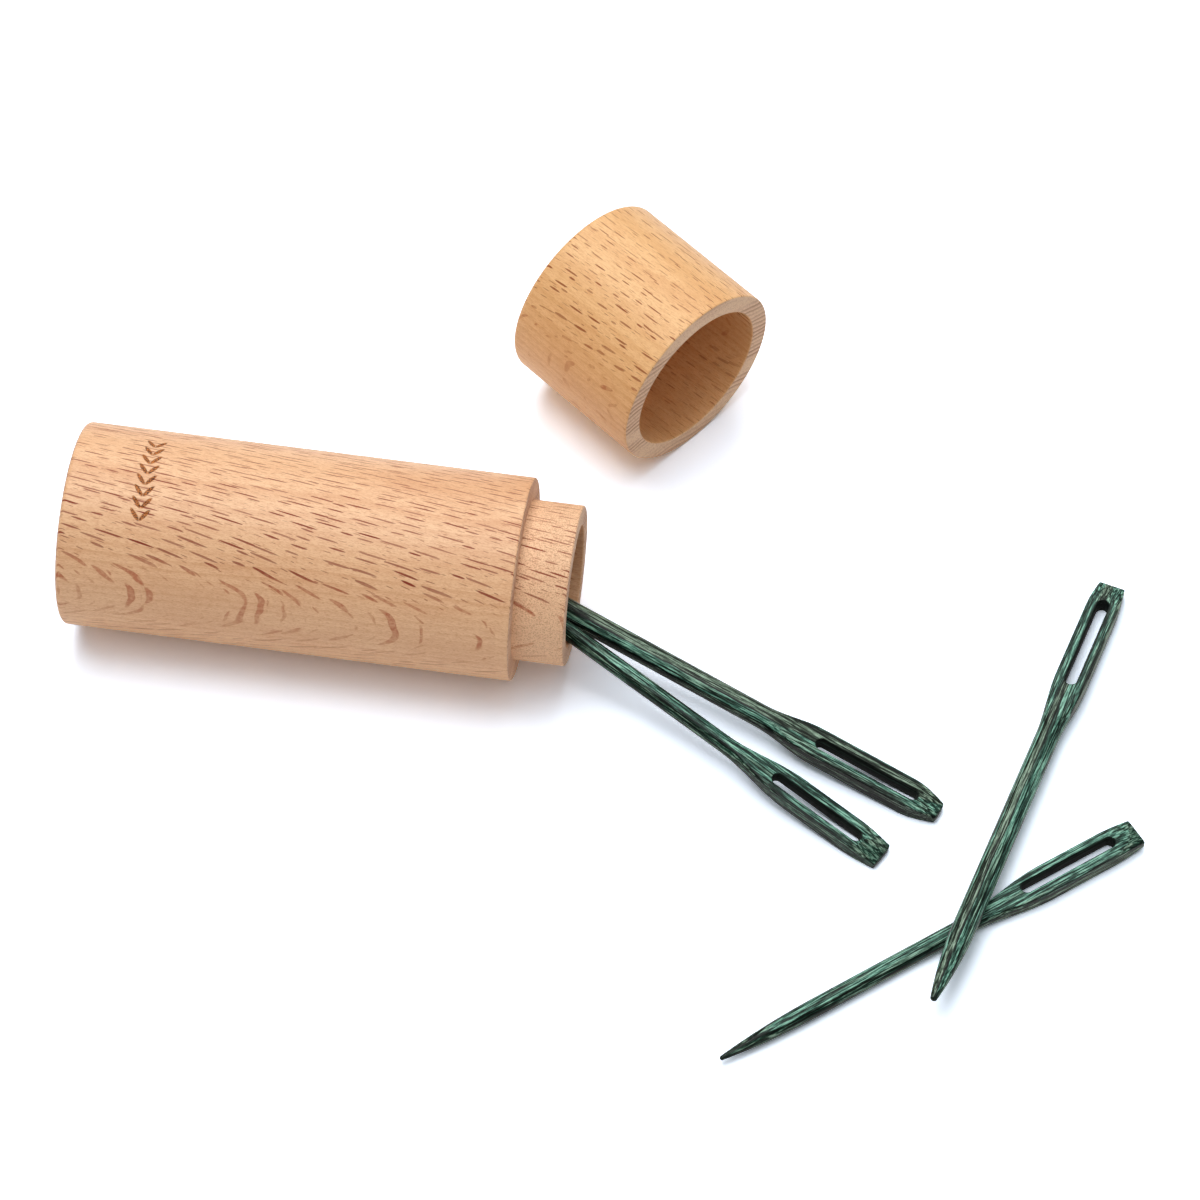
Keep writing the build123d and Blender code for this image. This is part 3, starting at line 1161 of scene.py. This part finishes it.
@dataclass(frozen=True)
class Studio:
    """The floor, the lights and the camera.

    Attributes:
        aim: The floor point in the middle of the picture, in metres.
        distance: The camera's distance from it.
        elevation: How far the camera looks down, in degrees.
        turn: How far it looks to the left of +Y, in degrees.
        lens: Its focal length on a 36 mm sensor.
        half_floor: Half the floor's side, in metres.
        floor_lit: The floor as it lights the pieces.
        floor_mirrored: The floor as the pieces mirror it.
        floor_seen: The floor as the camera sees it, past white outside the shadows.
        daylight: The colour of the light all round.
        daylight_level: Its strength.
        lamps: The lamps.
    """

    aim: tuple[float, float, float] = (-0.0043835, 0.009561, 0.0)
    distance: float = 0.868818
    elevation: float = 56.6016
    turn: float = 8.7095
    lens: float = 153.98
    half_floor: float = 3.0
    floor_lit: Colour = (0.98, 0.98, 0.98, 1.0)
    floor_mirrored: Colour = (1.0, 1.0, 1.0, 1.0)
    floor_seen: Colour = (1.42, 1.56, 1.75, 1.0)
    daylight: Colour = (1.0, 0.99, 0.98, 1.0)
    daylight_level: float = 0.20
    lamps: tuple[Lamp, ...] = (Lamp("key", (-0.20, 0.10, 1.17), 0.7, 5.9),
                               Lamp("sky", (0.0, 0.0, 1.25), 1.4, 6.8),
                               Lamp("back", (-0.12, 1.00, 1.00), 0.8, 5.4))

    def camera(self) -> None:
        """Makes the camera at the photograph's angle."""
        data = bpy.data.cameras.new("camera")
        data.lens = self.lens
        data.sensor_width = 36.0
        data.clip_end = 10.0
        camera = put("camera", data)
        turned = Matrix.Rotation(math.radians(self.turn), 4, "Z")
        tilted = Matrix.Rotation(math.radians(90 - self.elevation), 4, "X")
        back = Matrix.Translation((0, 0, self.distance))
        camera.matrix_world = Matrix.Translation(self.aim) @ turned @ tilted @ back
        bpy.context.scene.camera = camera

    def floor(self) -> None:
        """Makes the plain pale floor, which keeps the soft shadows."""
        mesh = bpy.data.meshes.new("floor")
        half = self.half_floor
        corners = [(-half, -half, 0), (half, -half, 0), (half, half, 0), (-half, half, 0)]
        mesh.from_pydata(corners, [], [(0, 1, 2, 3)])
        floor = put("floor", mesh)
        made = bpy.data.materials.new("pale_floor")
        graph = shader_graph(made)
        colours = (self.floor_lit, self.floor_mirrored, self.floor_seen)
        lit, mirrored, seen = (graph.add("ShaderNodeBsdfDiffuse", {"Color": colour})
                               for colour in colours)
        camera = graph.add("ShaderNodeLightPath", output="Is Camera Ray")
        rays = camera.socket.node.outputs
        glossy = Field(graph, rays["Is Glossy Ray"])
        bent = glossy.math("MAXIMUM", Field(graph, rays["Is Transmission Ray"]))
        shade = graph.add("ShaderNodeMixShader", {0: bent, 1: lit, 2: mirrored})
        graph.end("ShaderNodeOutputMaterial",
                  graph.add("ShaderNodeMixShader", {0: camera, 1: shade, 2: seen}))
        mesh.materials.append(made)

    def world(self) -> None:
        """Makes the soft light all round and the white behind the floor."""
        world = bpy.data.worlds.new("world")
        graph = shader_graph(world)
        light = graph.add("ShaderNodeBackground",
                          {"Color": self.daylight, "Strength": self.daylight_level})
        white = graph.add("ShaderNodeBackground", {"Color": (1.0, 1.0, 1.0, 1.0), "Strength": 1.0})
        camera = graph.add("ShaderNodeLightPath", output="Is Camera Ray")
        graph.end("ShaderNodeOutputWorld",
                  graph.add("ShaderNodeMixShader", {0: camera, 1: light, 2: white}))
        bpy.context.scene.world = world

    def build(self) -> None:
        """Sets the whole studio up."""
        self.camera()
        self.floor()
        self.world()
        for lamp in self.lamps:
            lamp.build(self.aim)
        bpy.context.scene.view_settings.view_transform = "Standard"


CASE_WOOD = Beech("case_beech", pale=srgb(245, 199, 155), late=srgb(212, 150, 106),
                  fleck=srgb(132, 24, 0), flake=srgb(178, 84, 48), fresh=srgb(253, 212, 172),
                  cut_across_and_highlight=srgb(230, 200, 176), ray_elevation=16.6, ray_lean=-7.5, seed=3.1,
                  broad_rays=Rays((5.4, 1.0), 3.2, 0.112, 0.92), braid=BurnedBraid())
CAP_WOOD = Beech("cap_beech", pale=srgb(245, 197, 140), late=srgb(216, 154, 96),
                 fleck=srgb(146, 62, 14), flake=srgb(190, 110, 64), fresh=srgb(250, 206, 154),
                 cut_across_and_highlight=srgb(242, 214, 190), ray_elevation=12.0, ray_lean=4.0, seed=21.7,
                 broad_rays=Rays((3.6, 1.45), 1.8, 0.115, 0.92))

CASE_CORNERS = [
    Corner(0.0, 0.0), Corner(0.0, 17.0, 0.8), Corner(75.6, 17.0, 0.35, 0.35),
    Corner(75.6, 13.4, 0.0, 0.35), Corner(84.2, 13.4, 0.35, 0.35), Corner(84.2, 10.2, 0.35, 1.0),
    Corner(5.0, 10.2, 1.5, 1.0), Corner(5.0, 0.0, 0.0, 1.0)]
CAP_CORNERS = [
    Corner(0.0, 0.0), Corner(0.0, 17.0, 0.8), Corner(27.5, 17.0, 0.35, 0.2),
    Corner(27.5, 13.56, 0.35, 1.0), Corner(5.0, 13.56, 1.5, 1.0), Corner(5.0, 0.0, 0.0, 1.0)]


def main() -> None:
    """Builds every piece in order and reports each one."""
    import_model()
    Studio().build()

    turned_pieces = [
        TurnedPiece("case_body", "beech_case", CASE_CORNERS, 84.2, 0.0, CASE_WOOD),
        TurnedPiece("cap", "beech_cap", CAP_CORNERS, 27.5, -36.8, CAP_WOOD)]
    # On the needles in the case and the small loose one, the veneers' turn and order put the dark
    # veneers underneath and the pale ones on top: the laminate's own layers, laid as painted shade on
    # the undersides and painted highlight on the tops.
    needles = [
        Needle("large_needle_in_case", "green_laminate_large_in_case", LARGE, 19.25, 4.25, 3.2, 0.0,
               (57.3159, -24.2397, 0.9691), 159.2, 6.5465,
               Laminate("laminate_large_in_case", -30.0, 1.25, 0.05,
                        (Dye.BLACK_GREEN, Dye.BLACK_GREEN, Dye.BLACK_GREEN, Dye.TEAL, Dye.GREY,
                         Dye.TEAL), 11.3)),
        Needle("small_needle_in_case", "green_laminate_small_in_case", SMALL, 17.95, 4.5, 4.6, 0.14,
               (49.0226, -33.8878, 0.7417), 152.1, 8.1793,
               Laminate("laminate_small_in_case", -4.0, 0.85, 0.42,
                        (Dye.BLACK_GREEN, Dye.BLACK_GREEN, Dye.DEEP, Dye.DEEP, Dye.TEAL, Dye.TEAL),
                        27.8)),
        Needle("large_needle_loose", "green_laminate_large_loose", LARGE, 18.85, 4.1, 4.4, 0.0,
               (81.0669, 24.4003, 1.2769), 256.5, 3.0566,
               Laminate("laminate_large_loose", 88.0, 1.15, 0.10,
                        (Dye.TEAL, Dye.TEAL, Dye.GREY, Dye.TEAL, Dye.TEAL, Dye.GREY), 43.2)),
        Needle("small_needle_loose", "green_laminate_small_loose", SMALL, 18.35, 4.4, 4.8, -0.3,
               (89.7953, -23.3277, 1.5), 220.0, 0.0,
               Laminate("laminate_small_loose", -9.0, 1.05, 0.963,
                        (Dye.GREY, Dye.GREY, Dye.DEEP, Dye.TEAL, Dye.TEAL, Dye.TEAL), 61.9))]
    for tree, blanks in ((lathe_tree(), turned_pieces), (needle_tree(), needles)):
        for blank in blanks:
            piece = blank.build(tree)
            LOG.info("%s: %d faces", piece.name, len(piece.data.polygons))


if __name__ == "__main__":
    logging.basicConfig(level=logging.INFO, format="%(name)s: %(message)s")
    main()
